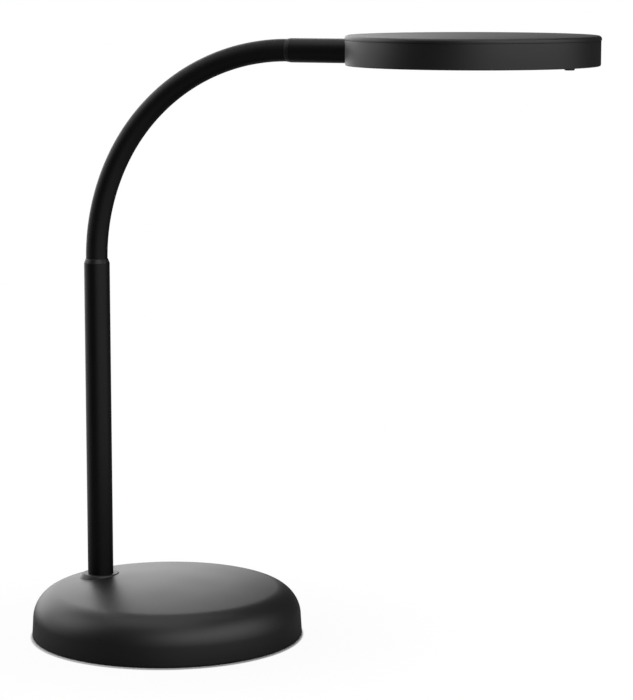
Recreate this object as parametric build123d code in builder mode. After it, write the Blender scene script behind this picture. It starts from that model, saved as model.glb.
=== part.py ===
"""Gooseneck desk lamp: weighted round base, post, flexible neck, disc-shaped LED head.

Millimetres. The origin is the centre of the base on the table top, +Z is up, and the neck
bends from the post, behind the origin, towards +X, where the head hangs over the table.
"""

import os
from math import asin, atan2, cos, degrees, hypot, pi, radians, sin, sqrt, tan

from build123d import *

os.makedirs("parts", exist_ok=True)

# ---------------------------------------------------------------- driving dimensions

fit_gap = 0.05           # between a turned piece and the tube or hole it is fixed in
seam_gap = 0.2           # open line between two shells, and round a loose seat

# base
base_radius = 86.7       # the cover's rim, the widest place
base_height = 37.0       # top of the crown
shoulder_radius = 19.3   # arc between the side and the crown
shoulder_height = 11.4   # where the side turns into the shoulder
side_draft = 0.7         # the side leans in by this much up to the shoulder
rim_clearance = 0.5      # the cover's rim over the table
cover_wall = 2.6

foot_height = 1.7        # pad under the base plate
foot_inset = 4.6         # the pad's edge inside the plate's
plate_gap = 0.5          # open line between plate and cover
plate_thickness = 1.6
weight_inset = 10.1      # room round the casting inside the cover
weight_thickness = 9.7
weight_edge = 2.0        # broken upper edge of the casting

screw_inset = 15.0       # base screws, inside the casting's edge
screw_count = 4
screw_shank = 1.75
screw_length = 22.0
screw_head_radius = 3.6
screw_head_height = 1.2
screw_boss_radius = 4.5
screw_pass = 2.4         # hole in the plate and in the casting

# post and its fixing
post_inset = 39.7        # post axis, inside the cover's rim at the back
post_radius = 8.2
post_wall = 1.2
post_boss_radius = 11.4  # flat top of the boss, where the post stands
post_boss_lip = 0.5      # the top, over the dome on its high side
post_boss_slope = 30.0   # degrees that the boss's side leans in
post_boss_edge = 0.4
post_column_radius = 12.25  # under the boss, inside the cover
plug_length = 16.0       # inside the post
stud_radius = 5.0
lead_hole = 2.4          # bore for the lead through stud and plug
nut_across_flats = 14.0
nut_thickness = 3.0
washer_radius = 9.0
washer_thickness = 1.0
stud_past_nut = 1.0
bridge_rear = 11.0       # arch of the casting that carries the post
bridge_front = 14.0
bridge_half_width = 17.5
bridge_corner = 4.0
pocket_radius = 11.0     # room under the arch for nut, lead and inlet

# power inlet at the rear
inlet_height = 10.5
inlet_inset = 1.5        # flat on the cover, inside the rim
inlet_flange_radius = 5.5
inlet_flange = 1.2
inlet_barrel_radius = 4.0
inlet_bore = 2.9
inlet_bore_depth = 9.5
inlet_pin_radius = 1.05
inlet_pin_recess = 1.0   # the centre pin's tip behind the flange's face
inlet_length = 12.7      # barrel behind the flange
inlet_tail = 2.0         # terminal block
inlet_tail_radius = 3.0
inlet_nut_flats = 11.0
inlet_nut = 2.0
inlet_pad_radius = 7.0
inlet_recess_radius = 6.2

# flat two-core lead inside the lamp
lead_width = 3.2
lead_depth = 2.0
lead_bend = 9.0          # turn from the inlet up into the stud

# collars and gooseneck
neck_radius = 6.9
neck_bore = 4.8
neck_start = 240.7       # height of the lower collar's tip
neck_lower_radius = 137.3
neck_lower_turn = 28.5   # degrees of the lower arc; the upper arc makes up a quarter turn
neck_upper_radius = 129.85
neck_joints = 12
lip_angle = 65.0         # a cup reaches this far round its ball, in degrees from the axis
joint_gap = 0.05
core_radius = 5.4        # bare end of the neck inside a collar
core_bore = 4.5
core_length = 18.0
collar_bore = 5.5
collar_tip_radius = 7.1
collar_tail = 20.0
post_collar_taper = 2.8
stub_collar_taper = 2.6

# stub tube and its fixing in the head
stub_length = 39.5       # between collar and head
stub_radius = 7.45
stub_wall = 1.0
spigot_length = 12.0     # inside the stub tube
tenon_radius = 5.0
tenon_depth = 10.25      # the tenon's end, inside the head's side
spigot_bore = 2.2
socket_wall = 1.4
socket_screw_inset = 6.75    # locking screw, inside the head's side
socket_screw_radius = 1.45

# head
housing_radius = 76.25
cover_overhang = 0.35    # the cover's rim, past the housing's side
head_thickness = 17.9
head_drop = 7.7          # the head's underside below the stub's axis
lip_height = 2.6         # rim of the cover
head_wall = 2.2
shell_floor = 2.0        # thickness of the cover's top and of the housing's floor
cover_edge = 2.0         # rounded upper edge
housing_edge = 0.9       # broken lower edge
skirt_wall = 1.2
skirt_depth = 3.0
diffuser_inset = 25.75   # the diffuser's edge, inside the housing's side
light_inset = 2.5        # opening in the housing's floor, inside the diffuser's edge
diffuser_thickness = 2.0
upstand_wall = 1.2       # ring of the housing round diffuser and reflector
upstand_height = 7.6
reflector_height = 6.2
reflector_foot = 2.4     # wall at the diffuser
reflector_top = 0.9      # wall at the board
board_thickness = 1.6
board_screw_inset = 12.5
board_screw_count = 3
board_boss_radius = 3.0
small_screw_radius = 1.1
small_screw_head = 2.2
small_screw_head_height = 1.3
led_length = 3.5
led_width = 2.8
led_height = 0.8
led_inset = 7.0          # outer ring of packages, inside the board's edge
led_ring_count = 3
led_ring_share = 6       # packages on the inner ring; each next ring has as many more

driver_inset = 19.25     # face of the driver board, inside the head's side
driver_width = 26.0
driver_height = 10.5
driver_thickness = 1.2
driver_part_depth = 2.0  # components on the driver board
driver_part_width = 5.0
driver_part_height = 4.0
driver_part_spacing = 18.0
connector_length = 5.0
connector_width = 7.0
connector_height = 5.0
ribbon_thickness = 0.9   # flat wires inside the head
ribbon_width = 4.0
ribbon_socket_y = -8.0   # socket for the switch's wires on the driver board
ribbon_socket_width = 4.0
ribbon_end_turn = 6.0    # degrees short of the switch board's middle
led_wire_width = 8.0
led_wire_thickness = 0.6

# dimmer button
button_inset = 16.55     # inside the head's side
button_radius = 3.1
button_hole = 3.35
button_proud = 2.1       # below the head
button_taper = 0.6
button_collar_radius = 4.4
button_collar = 0.9
button_travel = 1.0
button_pad_radius = 2.2
button_pad = 1.0
plunger_radius = 1.7
plunger_length = 2.6
plunger_play = 0.1
tact_side = 6.2
tact_height = 3.4
switch_board_length = 12.0
switch_board_width = 22.0
switch_post_spacing = 17.0
switch_post_radius = 2.2

# ---------------------------------------------------------------- derived places

plate_radius = base_radius - cover_wall - plate_gap
foot_radius = plate_radius - foot_inset
weight_radius = base_radius - cover_wall - weight_inset
screw_circle = weight_radius - screw_inset
inlet_seat = base_radius - inlet_inset
post_x = post_inset - base_radius
plate_top = foot_height + plate_thickness
weight_top = plate_top + weight_thickness

# the shoulder's arc touches both the side and the crown, which fixes the crown's radius
shoulder_x = base_radius - side_draft - shoulder_radius
crown_rise = base_height - shoulder_height
crown_radius = (shoulder_x**2 + crown_rise**2 - shoulder_radius**2) / (
    2 * (crown_rise - shoulder_radius)
)
crown_centre = base_height - crown_radius
crown_reach = atan2(shoulder_x, shoulder_height - crown_centre)


def crown_height(r):
    """Height of the crown's outer skin at a distance from the base's axis."""
    return crown_centre + sqrt(crown_radius**2 - r**2)


post_boss_height = crown_height(-post_x - post_boss_radius) + post_boss_lip
stud_end = inlet_height + lead_bend
arch_underside = stud_end + stud_past_nut + nut_thickness + washer_thickness
bridge_reach = hypot(bridge_rear - post_x, bridge_half_width)
ceiling_sag = (crown_radius - cover_wall) * (1 - cos(crown_reach / 4))
arch_top = crown_height(bridge_reach) - cover_wall - ceiling_sag - 2 * seam_gap

post_top = neck_start - post_collar_taper

neck_turn = radians(neck_lower_turn)
neck_lower_length = neck_lower_radius * neck_turn
neck_length = neck_lower_length + neck_upper_radius * (pi / 2 - neck_turn)
neck_pitch = neck_length / neck_joints


def neck_point(s):
    """Point of the neck's centre line, s along it from the lower collar."""
    turn = min(s, neck_lower_length) / neck_lower_radius
    x = post_x + neck_lower_radius * (1 - cos(turn))
    z = neck_start + neck_lower_radius * sin(turn)
    if s > neck_lower_length:
        end = neck_turn + (s - neck_lower_length) / neck_upper_radius
        x += neck_upper_radius * (cos(turn) - cos(end))
        z += neck_upper_radius * (sin(end) - sin(turn))
    return Vector(x, 0, z)


neck_end = neck_point(neck_length)
arm_height = neck_end.Z
stub_start = neck_end.X + stub_collar_taper
tube_start = stub_start + stub_length
head_x = tube_start + housing_radius
head_radius = housing_radius + cover_overhang
diffuser_radius = housing_radius - diffuser_inset
light_radius = diffuser_radius - light_inset
board_screw_circle = diffuser_radius - board_screw_inset
led_ring_pitch = (diffuser_radius - led_inset) / led_ring_count
driver_x = housing_radius - driver_inset
button_x = housing_radius - button_inset
socket_screw_x = tube_start + socket_screw_inset
tenon_end = tube_start + tenon_depth
joint_points = [neck_point((k + 0.5) * neck_pitch) for k in range(neck_joints)]

# ball and cup are turned as plain cones whose edges lie on two spheres; the cup's sphere is
# as much larger as its cone needs to stay joint_gap clear of the ball's edges
ball_radius = neck_radius / sin(radians(lip_angle))
bore_angle = degrees(asin(neck_bore / ball_radius))
cup_radius = (ball_radius + joint_gap) / cos(radians(lip_angle - bore_angle) / 2)

head_bottom = arm_height - head_drop
head_top = head_bottom + head_thickness
lip_bottom = head_top - lip_height
ceiling = head_top - shell_floor
floor_top = head_bottom + shell_floor
diffuser_top = floor_top + diffuser_thickness
board_bottom = diffuser_top + reflector_height
board_top = board_bottom + board_thickness
upstand_inner = diffuser_radius + seam_gap

button_seat = floor_top + seam_gap
button_top = button_seat + button_collar + button_pad
tact_bottom = button_top + button_travel + 2 * seam_gap
tact_top = tact_bottom + tact_height

# ---------------------------------------------------------------- helpers


def level(z, x=0.0, y=0.0):
    """Horizontal workplane."""
    return Plane(origin=(x, y, z))


def across_arm(x):
    """Workplane square to the stub's axis, looking towards the head."""
    return Plane(origin=(x, 0, arm_height), x_dir=(0, 1, 0), z_dir=(1, 0, 0))


def across_inlet(r):
    """Workplane square to the inlet's axis, at a distance behind the base's centre."""
    return Plane(origin=(-r, 0, inlet_height), x_dir=(0, 1, 0), z_dir=(1, 0, 0))


def upright(x):
    """Section plane through a vertical axis: radius to the right, height upwards."""
    return Plane(origin=(x, 0, 0), x_dir=(1, 0, 0), z_dir=(0, -1, 0))


def vertical_axis(x):
    return Axis((x, 0, 0), (0, 0, 1))


def disc(plane, radius, hole=0.0):
    """Round face on a plane, with an optional round hole."""
    with BuildSketch(plane) as face:
        Circle(radius)
        if hole:
            Circle(hole, mode=Mode.SUBTRACT)
    return face.sketch


def section(plane, points):
    """Closed outline of straight sides on a plane."""
    with BuildSketch(plane) as face:
        with BuildLine():
            Polyline(*points, close=True)
        make_face()
    return face.sketch


def dome_section(inset):
    """Half section of the base's dome: round on the outer skin, in flats where it is inset."""
    crown = crown_radius - inset
    shoulder = shoulder_radius - inset
    middle = (crown_reach + pi / 2) / 2
    top = (0, crown_centre + crown)
    on_crown = (crown * sin(crown_reach / 2), crown_centre + crown * cos(crown_reach / 2))
    crease = (crown * sin(crown_reach), crown_centre + crown * cos(crown_reach))
    on_shoulder = (shoulder_x + shoulder * sin(middle), shoulder_height + shoulder * cos(middle))
    side = (shoulder_x + shoulder, shoulder_height)
    with BuildSketch(upright(0)) as face:
        with BuildLine():
            if inset:
                Polyline(top, on_crown, crease, on_shoulder, side)
            else:
                ThreePointArc(top, on_crown, crease)
                ThreePointArc(crease, on_shoulder, side)
            Polyline(side, (base_radius - inset, rim_clearance), (0, rim_clearance), top)
        make_face()
    return face.sketch


# ---------------------------------------------------------------- base

with BuildPart() as base_hollow:
    # the room inside the cover; columns are left standing for screws, post and inlet
    revolve(dome_section(cover_wall), axis=Axis.Z)
    with BuildSketch(level(weight_top)):
        with PolarLocations(screw_circle, screw_count, start_angle=45):
            Circle(screw_boss_radius)
    extrude(amount=base_height, mode=Mode.SUBTRACT)
    extrude(
        disc(level(arch_top, post_x), post_column_radius),
        amount=base_height,
        mode=Mode.SUBTRACT,
    )
    extrude(
        disc(across_inlet(base_radius), inlet_pad_radius),
        amount=base_radius - inlet_seat + cover_wall,
        mode=Mode.SUBTRACT,
    )
    extrude(disc(across_inlet(inlet_seat - cover_wall), inlet_pad_radius), amount=inlet_nut)

with BuildPart() as base_cover:
    revolve(dome_section(0), axis=Axis.Z)
    boss_foot = post_boss_radius + (post_boss_height - arch_top) * tan(radians(post_boss_slope))
    outline = (
        (0, arch_top),
        (boss_foot, arch_top),
        (post_boss_radius, post_boss_height),
        (0, post_boss_height),
    )
    # turned from a section across the base, so that its seam lies clear of the dome's slope
    across_post = Plane(origin=(post_x, 0, 0), x_dir=(0, 1, 0), z_dir=(1, 0, 0))
    revolve(section(across_post, outline), axis=vertical_axis(post_x))
    boss_top = base_cover.faces().filter_by(Plane.XY).sort_by(Axis.Z)[-1]
    chamfer(boss_top.edges(), length=post_boss_edge)
    add(base_hollow.part, mode=Mode.SUBTRACT)
    extrude(
        disc(level(arch_top, post_x), stud_radius + 2 * fit_gap),
        amount=base_height,
        mode=Mode.SUBTRACT,
    )
    with BuildSketch(level(weight_top)):
        with PolarLocations(screw_circle, screw_count, start_angle=45):
            Circle(screw_shank + fit_gap)
    extrude(amount=screw_length - weight_thickness, mode=Mode.SUBTRACT)
    extrude(
        disc(across_inlet(base_radius + inlet_flange), inlet_recess_radius),
        amount=base_radius + inlet_flange - inlet_seat,
        mode=Mode.SUBTRACT,
    )
    extrude(
        disc(across_inlet(base_radius), inlet_barrel_radius + fit_gap),
        amount=2 * cover_wall + base_radius - inlet_seat,
        mode=Mode.SUBTRACT,
    )
base_cover.part.label = "base_cover"
export_step(base_cover.part, "parts/base_cover.step")

with BuildPart() as base_weight:
    # cast disc with an arch at the rear that carries the post
    extrude(disc(level(plate_top), weight_radius), amount=weight_thickness)
    chamfer(base_weight.faces().sort_by(Axis.Z)[-1].edges(), length=weight_edge)
    with BuildSketch(level(plate_top, post_x)):
        with Locations(((bridge_front - bridge_rear) / 2, 0)):
            RectangleRounded(bridge_front + bridge_rear, 2 * bridge_half_width, bridge_corner)
    extrude(amount=arch_top - plate_top)
    with BuildSketch(level(plate_top, post_x)):
        Circle(pocket_radius)
        with Locations((-weight_radius / 2, 0)):
            Rectangle(weight_radius, 2 * pocket_radius)
    extrude(amount=arch_underside - plate_top, mode=Mode.SUBTRACT)
    extrude(
        disc(level(plate_top, post_x), stud_radius + 2 * fit_gap),
        amount=base_height,
        mode=Mode.SUBTRACT,
    )
    with BuildSketch(level(plate_top)):
        with PolarLocations(screw_circle, screw_count, start_angle=45):
            Circle(screw_pass)
    extrude(amount=weight_thickness, mode=Mode.SUBTRACT)
base_weight.part.label = "base_weight"
export_step(base_weight.part, "parts/base_weight.step")

with BuildPart() as base_plate:
    extrude(disc(level(foot_height), plate_radius), amount=plate_thickness)
    with BuildSketch(level(foot_height)):
        with PolarLocations(screw_circle, screw_count, start_angle=45):
            Circle(screw_pass)
    extrude(amount=plate_thickness, mode=Mode.SUBTRACT)
base_plate.part.label = "base_plate"
export_step(base_plate.part, "parts/base_plate.step")

with BuildPart() as foot_pad:
    extrude(disc(level(0), foot_radius), amount=foot_height)
    with BuildSketch(level(0)):
        with PolarLocations(screw_circle, screw_count, start_angle=45):
            Circle(screw_head_radius + 2 * seam_gap)
    extrude(amount=foot_height, mode=Mode.SUBTRACT)
foot_pad.part.label = "foot_pad"
export_step(foot_pad.part, "parts/foot_pad.step")

with BuildPart() as base_screws:
    with BuildSketch(level(foot_height - screw_head_height)):
        with PolarLocations(screw_circle, screw_count, start_angle=45):
            Circle(screw_head_radius)
    extrude(amount=screw_head_height)
    with BuildSketch(level(foot_height)):
        with PolarLocations(screw_circle, screw_count, start_angle=45):
            Circle(screw_shank)
    extrude(amount=screw_length)
base_screws.part.label = "base_screws"
export_step(base_screws.part, "parts/base_screws.step")

# ---------------------------------------------------------------- power inlet

with BuildPart() as dc_jack:
    inlet_face = inlet_seat + inlet_flange
    extrude(disc(across_inlet(inlet_face), inlet_flange_radius), amount=inlet_flange)
    extrude(disc(across_inlet(inlet_seat), inlet_barrel_radius), amount=inlet_length)
    extrude(
        disc(across_inlet(inlet_seat - inlet_length), inlet_tail_radius),
        amount=inlet_tail,
    )
    extrude(disc(across_inlet(inlet_face), inlet_bore), amount=inlet_bore_depth, mode=Mode.SUBTRACT)
    extrude(
        disc(across_inlet(inlet_face - inlet_pin_recess), inlet_pin_radius),
        amount=inlet_bore_depth - inlet_pin_recess,
    )
dc_jack.part.label = "dc_jack"
export_step(dc_jack.part, "parts/dc_jack.step")

with BuildPart() as jack_nut:
    with BuildSketch(across_inlet(inlet_seat - cover_wall)):
        RegularPolygon(inlet_nut_flats / 2, 6, major_radius=False)
        Circle(inlet_barrel_radius + fit_gap, mode=Mode.SUBTRACT)
    extrude(amount=inlet_nut)
jack_nut.part.label = "jack_nut"
export_step(jack_nut.part, "parts/jack_nut.step")

# ---------------------------------------------------------------- post

plug_radius = post_radius - post_wall - fit_gap

with BuildPart() as post_plug:
    # hollow stud below, plug inside the tube above
    outline = (
        (lead_hole, stud_end),
        (stud_radius, stud_end),
        (stud_radius, post_boss_height),
        (plug_radius, post_boss_height),
        (plug_radius, post_boss_height + plug_length),
        (lead_hole, post_boss_height + plug_length),
    )
    revolve(section(upright(post_x), outline), axis=vertical_axis(post_x))
post_plug.part.label = "post_plug"
export_step(post_plug.part, "parts/post_plug.step")

with BuildPart() as post_washer:
    extrude(
        disc(level(arch_underside - washer_thickness, post_x), washer_radius, stud_radius + fit_gap),
        amount=washer_thickness,
    )
post_washer.part.label = "post_washer"
export_step(post_washer.part, "parts/post_washer.step")

with BuildPart() as post_nut:
    with BuildSketch(level(arch_underside - washer_thickness - nut_thickness, post_x)):
        RegularPolygon(nut_across_flats / 2, 6, major_radius=False)
        Circle(stud_radius + fit_gap, mode=Mode.SUBTRACT)
    extrude(amount=nut_thickness)
post_nut.part.label = "post_nut"
export_step(post_nut.part, "parts/post_nut.step")

with BuildPart() as post_tube:
    extrude(
        disc(level(post_boss_height, post_x), post_radius, post_radius - post_wall),
        amount=post_top - post_boss_height,
    )
post_tube.part.label = "post_tube"
export_step(post_tube.part, "parts/post_tube.step")

# ---------------------------------------------------------------- collars

with BuildPart() as neck_collar_lower:
    outline = (
        (collar_bore, post_top - collar_tail),
        (plug_radius, post_top - collar_tail),
        (plug_radius, post_top),
        (post_radius, post_top),
        (collar_tip_radius, neck_start),
        (collar_bore, neck_start),
    )
    revolve(section(upright(post_x), outline), axis=vertical_axis(post_x))
neck_collar_lower.part.label = "neck_collar_lower"
export_step(neck_collar_lower.part, "parts/neck_collar_lower.step")

arm_axis = Axis((0, 0, arm_height), (1, 0, 0))
arm_section = Plane(origin=(0, 0, arm_height), x_dir=(1, 0, 0), z_dir=(0, -1, 0))
stub_bore = stub_radius - stub_wall - fit_gap

with BuildPart() as neck_collar_upper:
    outline = (
        (neck_end.X, collar_bore),
        (neck_end.X, collar_tip_radius),
        (stub_start, stub_radius),
        (stub_start, stub_bore),
        (stub_start + collar_tail, stub_bore),
        (stub_start + collar_tail, collar_bore),
    )
    revolve(section(arm_section, outline), axis=arm_axis)
neck_collar_upper.part.label = "neck_collar_upper"
export_step(neck_collar_upper.part, "parts/neck_collar_upper.step")

# ---------------------------------------------------------------- gooseneck
# Short sleeves, each with a ball at its lower end and a cup at its upper end. Ball and cup
# share one centre, so the outer line stays closed when the neck bends.


def depth(sphere, r):
    """Distance behind a joint's centre at which a sphere round it has the radius r."""
    return sqrt(sphere**2 - r**2)


def sleeve(start, end, ball, cup):
    """Neck sleeve between two points, with a ball at its start, a cup at its end, or both."""
    along = (end - start).normalized()
    length = (end - start).length
    outline = (
        (neck_bore, -depth(ball_radius, neck_bore) if ball else 0),
        (neck_radius, -depth(ball_radius, neck_radius) if ball else 0),
        (neck_radius, length - (depth(cup_radius, neck_radius) if cup else 0)),
        (neck_bore, length - (depth(cup_radius, neck_bore) if cup else 0)),
    )
    side = Vector(0, 1, 0)
    plane = Plane(origin=start, x_dir=side, z_dir=side.cross(along))
    return revolve(section(plane, outline), axis=Axis(start, along), mode=Mode.PRIVATE)


# the end sleeves lean a little against their collars, so they stop short of them
neck_foot = neck_point(0) + Vector(0, 0, 2 * seam_gap)
neck_head = neck_end - Vector(2 * seam_gap, 0, 0)

with BuildPart() as neck_end_lower:
    add(sleeve(neck_foot, joint_points[0], ball=False, cup=True))
    extrude(disc(level(neck_start - core_length, post_x), core_radius, core_bore), amount=core_length + 1)
neck_end_lower.part.label = "neck_end_lower"
export_step(neck_end_lower.part, "parts/neck_end_lower.step")

for k in range(neck_joints - 1):
    with BuildPart() as neck_link:
        add(sleeve(joint_points[k], joint_points[k + 1], ball=True, cup=True))
    neck_link.part.label = f"neck_link_{k + 1:02d}"
    export_step(neck_link.part, f"parts/neck_link_{k + 1:02d}.step")

with BuildPart() as neck_end_upper:
    add(sleeve(joint_points[-1], neck_head, ball=True, cup=False))
    extrude(disc(across_arm(neck_end.X - 1), core_radius, core_bore), amount=core_length + 1)
neck_end_upper.part.label = "neck_end_upper"
export_step(neck_end_upper.part, "parts/neck_end_upper.step")

# ---------------------------------------------------------------- stub tube

with BuildPart() as stub_tube:
    # its end is hollowed to lie against the round head
    extrude(
        disc(across_arm(stub_start), stub_radius, stub_radius - stub_wall),
        amount=tube_start + stub_wall - stub_start,
    )
    extrude(
        disc(level(head_bottom, head_x), head_radius + fit_gap),
        amount=head_thickness,
        mode=Mode.SUBTRACT,
    )
stub_tube.part.label = "stub_tube"
export_step(stub_tube.part, "parts/stub_tube.step")

spigot_step = head_x - head_radius - stub_wall

with BuildPart() as stub_spigot:
    outline = (
        (spigot_step - spigot_length, spigot_bore),
        (spigot_step - spigot_length, stub_bore),
        (spigot_step, stub_bore),
        (spigot_step, tenon_radius),
        (tenon_end, tenon_radius),
        (tenon_end, spigot_bore),
    )
    revolve(section(arm_section, outline), axis=arm_axis)
    extrude(
        disc(level(arm_height, socket_screw_x), socket_screw_radius + fit_gap),
        amount=tenon_radius,
        mode=Mode.SUBTRACT,
    )
stub_spigot.part.label = "stub_spigot"
export_step(stub_spigot.part, "parts/stub_spigot.step")

socket_radius = tenon_radius + fit_gap + socket_wall

with BuildPart() as spigot_screw:
    extrude(
        disc(level(arm_height + spigot_bore + seam_gap, socket_screw_x), socket_screw_radius),
        amount=socket_radius - spigot_bore - seam_gap,
    )
spigot_screw.part.label = "spigot_screw"
export_step(spigot_screw.part, "parts/spigot_screw.step")

# ---------------------------------------------------------------- head shells

with BuildPart() as head_housing:
    extrude(disc(level(head_bottom, head_x), housing_radius), amount=lip_bottom - seam_gap - head_bottom)
    chamfer(head_housing.faces().sort_by(Axis.Z)[0].edges(), length=housing_edge)
    extrude(
        disc(level(floor_top, head_x), housing_radius - head_wall, upstand_inner + upstand_wall),
        amount=head_thickness,
        mode=Mode.SUBTRACT,
    )
    extrude(
        disc(level(floor_top + upstand_height, head_x), upstand_inner + 2 * upstand_wall),
        amount=head_thickness,
        mode=Mode.SUBTRACT,
    )
    extrude(disc(level(floor_top, head_x), upstand_inner), amount=head_thickness, mode=Mode.SUBTRACT)
    extrude(disc(level(head_bottom, head_x), light_radius), amount=head_thickness, mode=Mode.SUBTRACT)
    # socket for the stub's tenon
    socket_start = tube_start + head_wall / 2
    extrude(disc(across_arm(socket_start), socket_radius), amount=tenon_end - socket_start)
    extrude(
        disc(across_arm(tube_start - head_wall), tenon_radius + fit_gap),
        amount=tenon_end + head_wall - tube_start,
        mode=Mode.SUBTRACT,
    )
    extrude(
        disc(level(arm_height, socket_screw_x), socket_screw_radius + fit_gap),
        amount=head_thickness,
        mode=Mode.SUBTRACT,
    )
    # hole for the button and posts for its board
    extrude(disc(level(head_bottom, head_x + button_x), button_hole), amount=shell_floor, mode=Mode.SUBTRACT)
    with BuildSketch(level(floor_top, head_x + button_x)):
        with GridLocations(0, switch_post_spacing, 1, 2):
            Circle(switch_post_radius)
    extrude(amount=tact_top - floor_top)
    with BuildSketch(level(floor_top + shell_floor, head_x + button_x)):
        with GridLocations(0, switch_post_spacing, 1, 2):
            Circle(small_screw_radius + fit_gap)
    extrude(amount=head_thickness, mode=Mode.SUBTRACT)
head_housing.part.label = "head_housing"
export_step(head_housing.part, "parts/head_housing.step")

with BuildPart() as head_cover:
    extrude(disc(level(lip_bottom, head_x), head_radius), amount=lip_height)
    fillet(head_cover.faces().sort_by(Axis.Z)[-1].edges(), radius=cover_edge)
    skirt_radius = housing_radius - head_wall - fit_gap
    extrude(disc(level(lip_bottom, head_x), skirt_radius), amount=ceiling - lip_bottom, mode=Mode.SUBTRACT)
    extrude(
        disc(level(ceiling - skirt_depth, head_x), skirt_radius, skirt_radius - skirt_wall),
        amount=skirt_depth,
    )
    with BuildSketch(level(board_top, head_x)):
        with PolarLocations(board_screw_circle, board_screw_count, start_angle=60):
            Circle(board_boss_radius)
    extrude(amount=ceiling - board_top)
    with BuildSketch(level(board_top, head_x)):
        with PolarLocations(board_screw_circle, board_screw_count, start_angle=60):
            Circle(small_screw_radius + fit_gap)
    extrude(amount=ceiling - board_top, mode=Mode.SUBTRACT)
    # the skirt is open where the stub's socket and the screw come up to it
    extrude(
        disc(across_arm(tube_start + head_wall), socket_radius + 2 * seam_gap),
        amount=tenon_end - tube_start,
        mode=Mode.SUBTRACT,
    )
head_cover.part.label = "head_cover"
export_step(head_cover.part, "parts/head_cover.step")

# ---------------------------------------------------------------- light

with BuildPart() as diffuser:
    extrude(disc(level(floor_top, head_x), diffuser_radius), amount=diffuser_thickness)
diffuser.part.label = "diffuser"
export_step(diffuser.part, "parts/diffuser.step")

with BuildPart() as reflector_ring:
    outline = (
        (diffuser_radius - reflector_foot, diffuser_top),
        (diffuser_radius, diffuser_top),
        (diffuser_radius, board_bottom),
        (diffuser_radius - reflector_top, board_bottom),
    )
    revolve(section(upright(head_x), outline), axis=vertical_axis(head_x))
reflector_ring.part.label = "reflector_ring"
export_step(reflector_ring.part, "parts/reflector_ring.step")

with BuildPart() as led_board:
    extrude(disc(level(board_bottom, head_x), diffuser_radius), amount=board_thickness)
    with BuildSketch(level(board_bottom, head_x)):
        with PolarLocations(board_screw_circle, board_screw_count, start_angle=60):
            Circle(small_screw_radius + seam_gap)
    extrude(amount=board_thickness, mode=Mode.SUBTRACT)
led_board.part.label = "led_board"
export_step(led_board.part, "parts/led_board.step")

with BuildPart() as led_packages:
    for ring in range(1, led_ring_count + 1):
        count = ring * led_ring_share
        with BuildSketch(level(board_bottom - led_height, head_x)):
            with PolarLocations(ring * led_ring_pitch, count, start_angle=180 / count):
                Rectangle(led_length, led_width)
        extrude(amount=led_height)
led_packages.part.label = "led_packages"
export_step(led_packages.part, "parts/led_packages.step")

with BuildPart() as head_screws:
    # board screws from below into the cover, switch board screws from above into the posts
    with BuildSketch(level(board_bottom - small_screw_head_height, head_x)):
        with PolarLocations(board_screw_circle, board_screw_count, start_angle=60):
            Circle(small_screw_head)
    extrude(amount=small_screw_head_height)
    with BuildSketch(level(board_bottom, head_x)):
        with PolarLocations(board_screw_circle, board_screw_count, start_angle=60):
            Circle(small_screw_radius)
    extrude(amount=ceiling - board_bottom)
    with BuildSketch(level(tact_top + driver_thickness, head_x + button_x)):
        with GridLocations(0, switch_post_spacing, 1, 2):
            Circle(small_screw_head)
    extrude(amount=small_screw_head_height)
    with BuildSketch(level(floor_top + shell_floor + seam_gap, head_x + button_x)):
        with GridLocations(0, switch_post_spacing, 1, 2):
            Circle(small_screw_radius)
    extrude(amount=tact_top + driver_thickness - floor_top - shell_floor - seam_gap)
head_screws.part.label = "head_screws"
export_step(head_screws.part, "parts/head_screws.step")

# ---------------------------------------------------------------- electronics

driver_face = head_x - driver_x + driver_thickness
ribbon_inner = upstand_inner + upstand_wall + seam_gap
ribbon_bottom = tact_top - ribbon_width
ribbon_socket_depth = head_x - ribbon_inner - driver_face

with BuildPart() as driver_board:
    # stands on the housing's floor beside the socket, its sockets on both faces
    with BuildSketch(level(floor_top, head_x - driver_x + driver_thickness / 2)):
        Rectangle(driver_thickness, driver_width)
    extrude(amount=driver_height)
    with BuildSketch(level(floor_top + shell_floor, head_x - driver_x - driver_part_depth / 2)):
        with GridLocations(0, driver_part_spacing, 1, 2):
            Rectangle(driver_part_depth, driver_part_width)
    extrude(amount=driver_part_height)
    with BuildSketch(level(ribbon_bottom, driver_face + ribbon_socket_depth / 2)):
        with Locations((0, ribbon_socket_y)):
            Rectangle(ribbon_socket_depth, ribbon_socket_width)
    extrude(amount=ribbon_width)
driver_board.part.label = "driver_board"
export_step(driver_board.part, "parts/driver_board.step")

connector_start = head_x - driver_x - connector_length

with BuildPart() as lead_connector:
    with BuildSketch(across_arm(connector_start)):
        Rectangle(connector_width, connector_height)
    extrude(amount=connector_length)
lead_connector.part.label = "lead_connector"
export_step(lead_connector.part, "parts/lead_connector.step")

with BuildPart() as switch_board:
    with BuildSketch(level(tact_top, head_x + button_x)):
        Rectangle(switch_board_length, switch_board_width)
        with GridLocations(0, switch_post_spacing, 1, 2):
            Circle(small_screw_radius + seam_gap, mode=Mode.SUBTRACT)
    extrude(amount=driver_thickness)
switch_board.part.label = "switch_board"
export_step(switch_board.part, "parts/switch_board.step")

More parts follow.
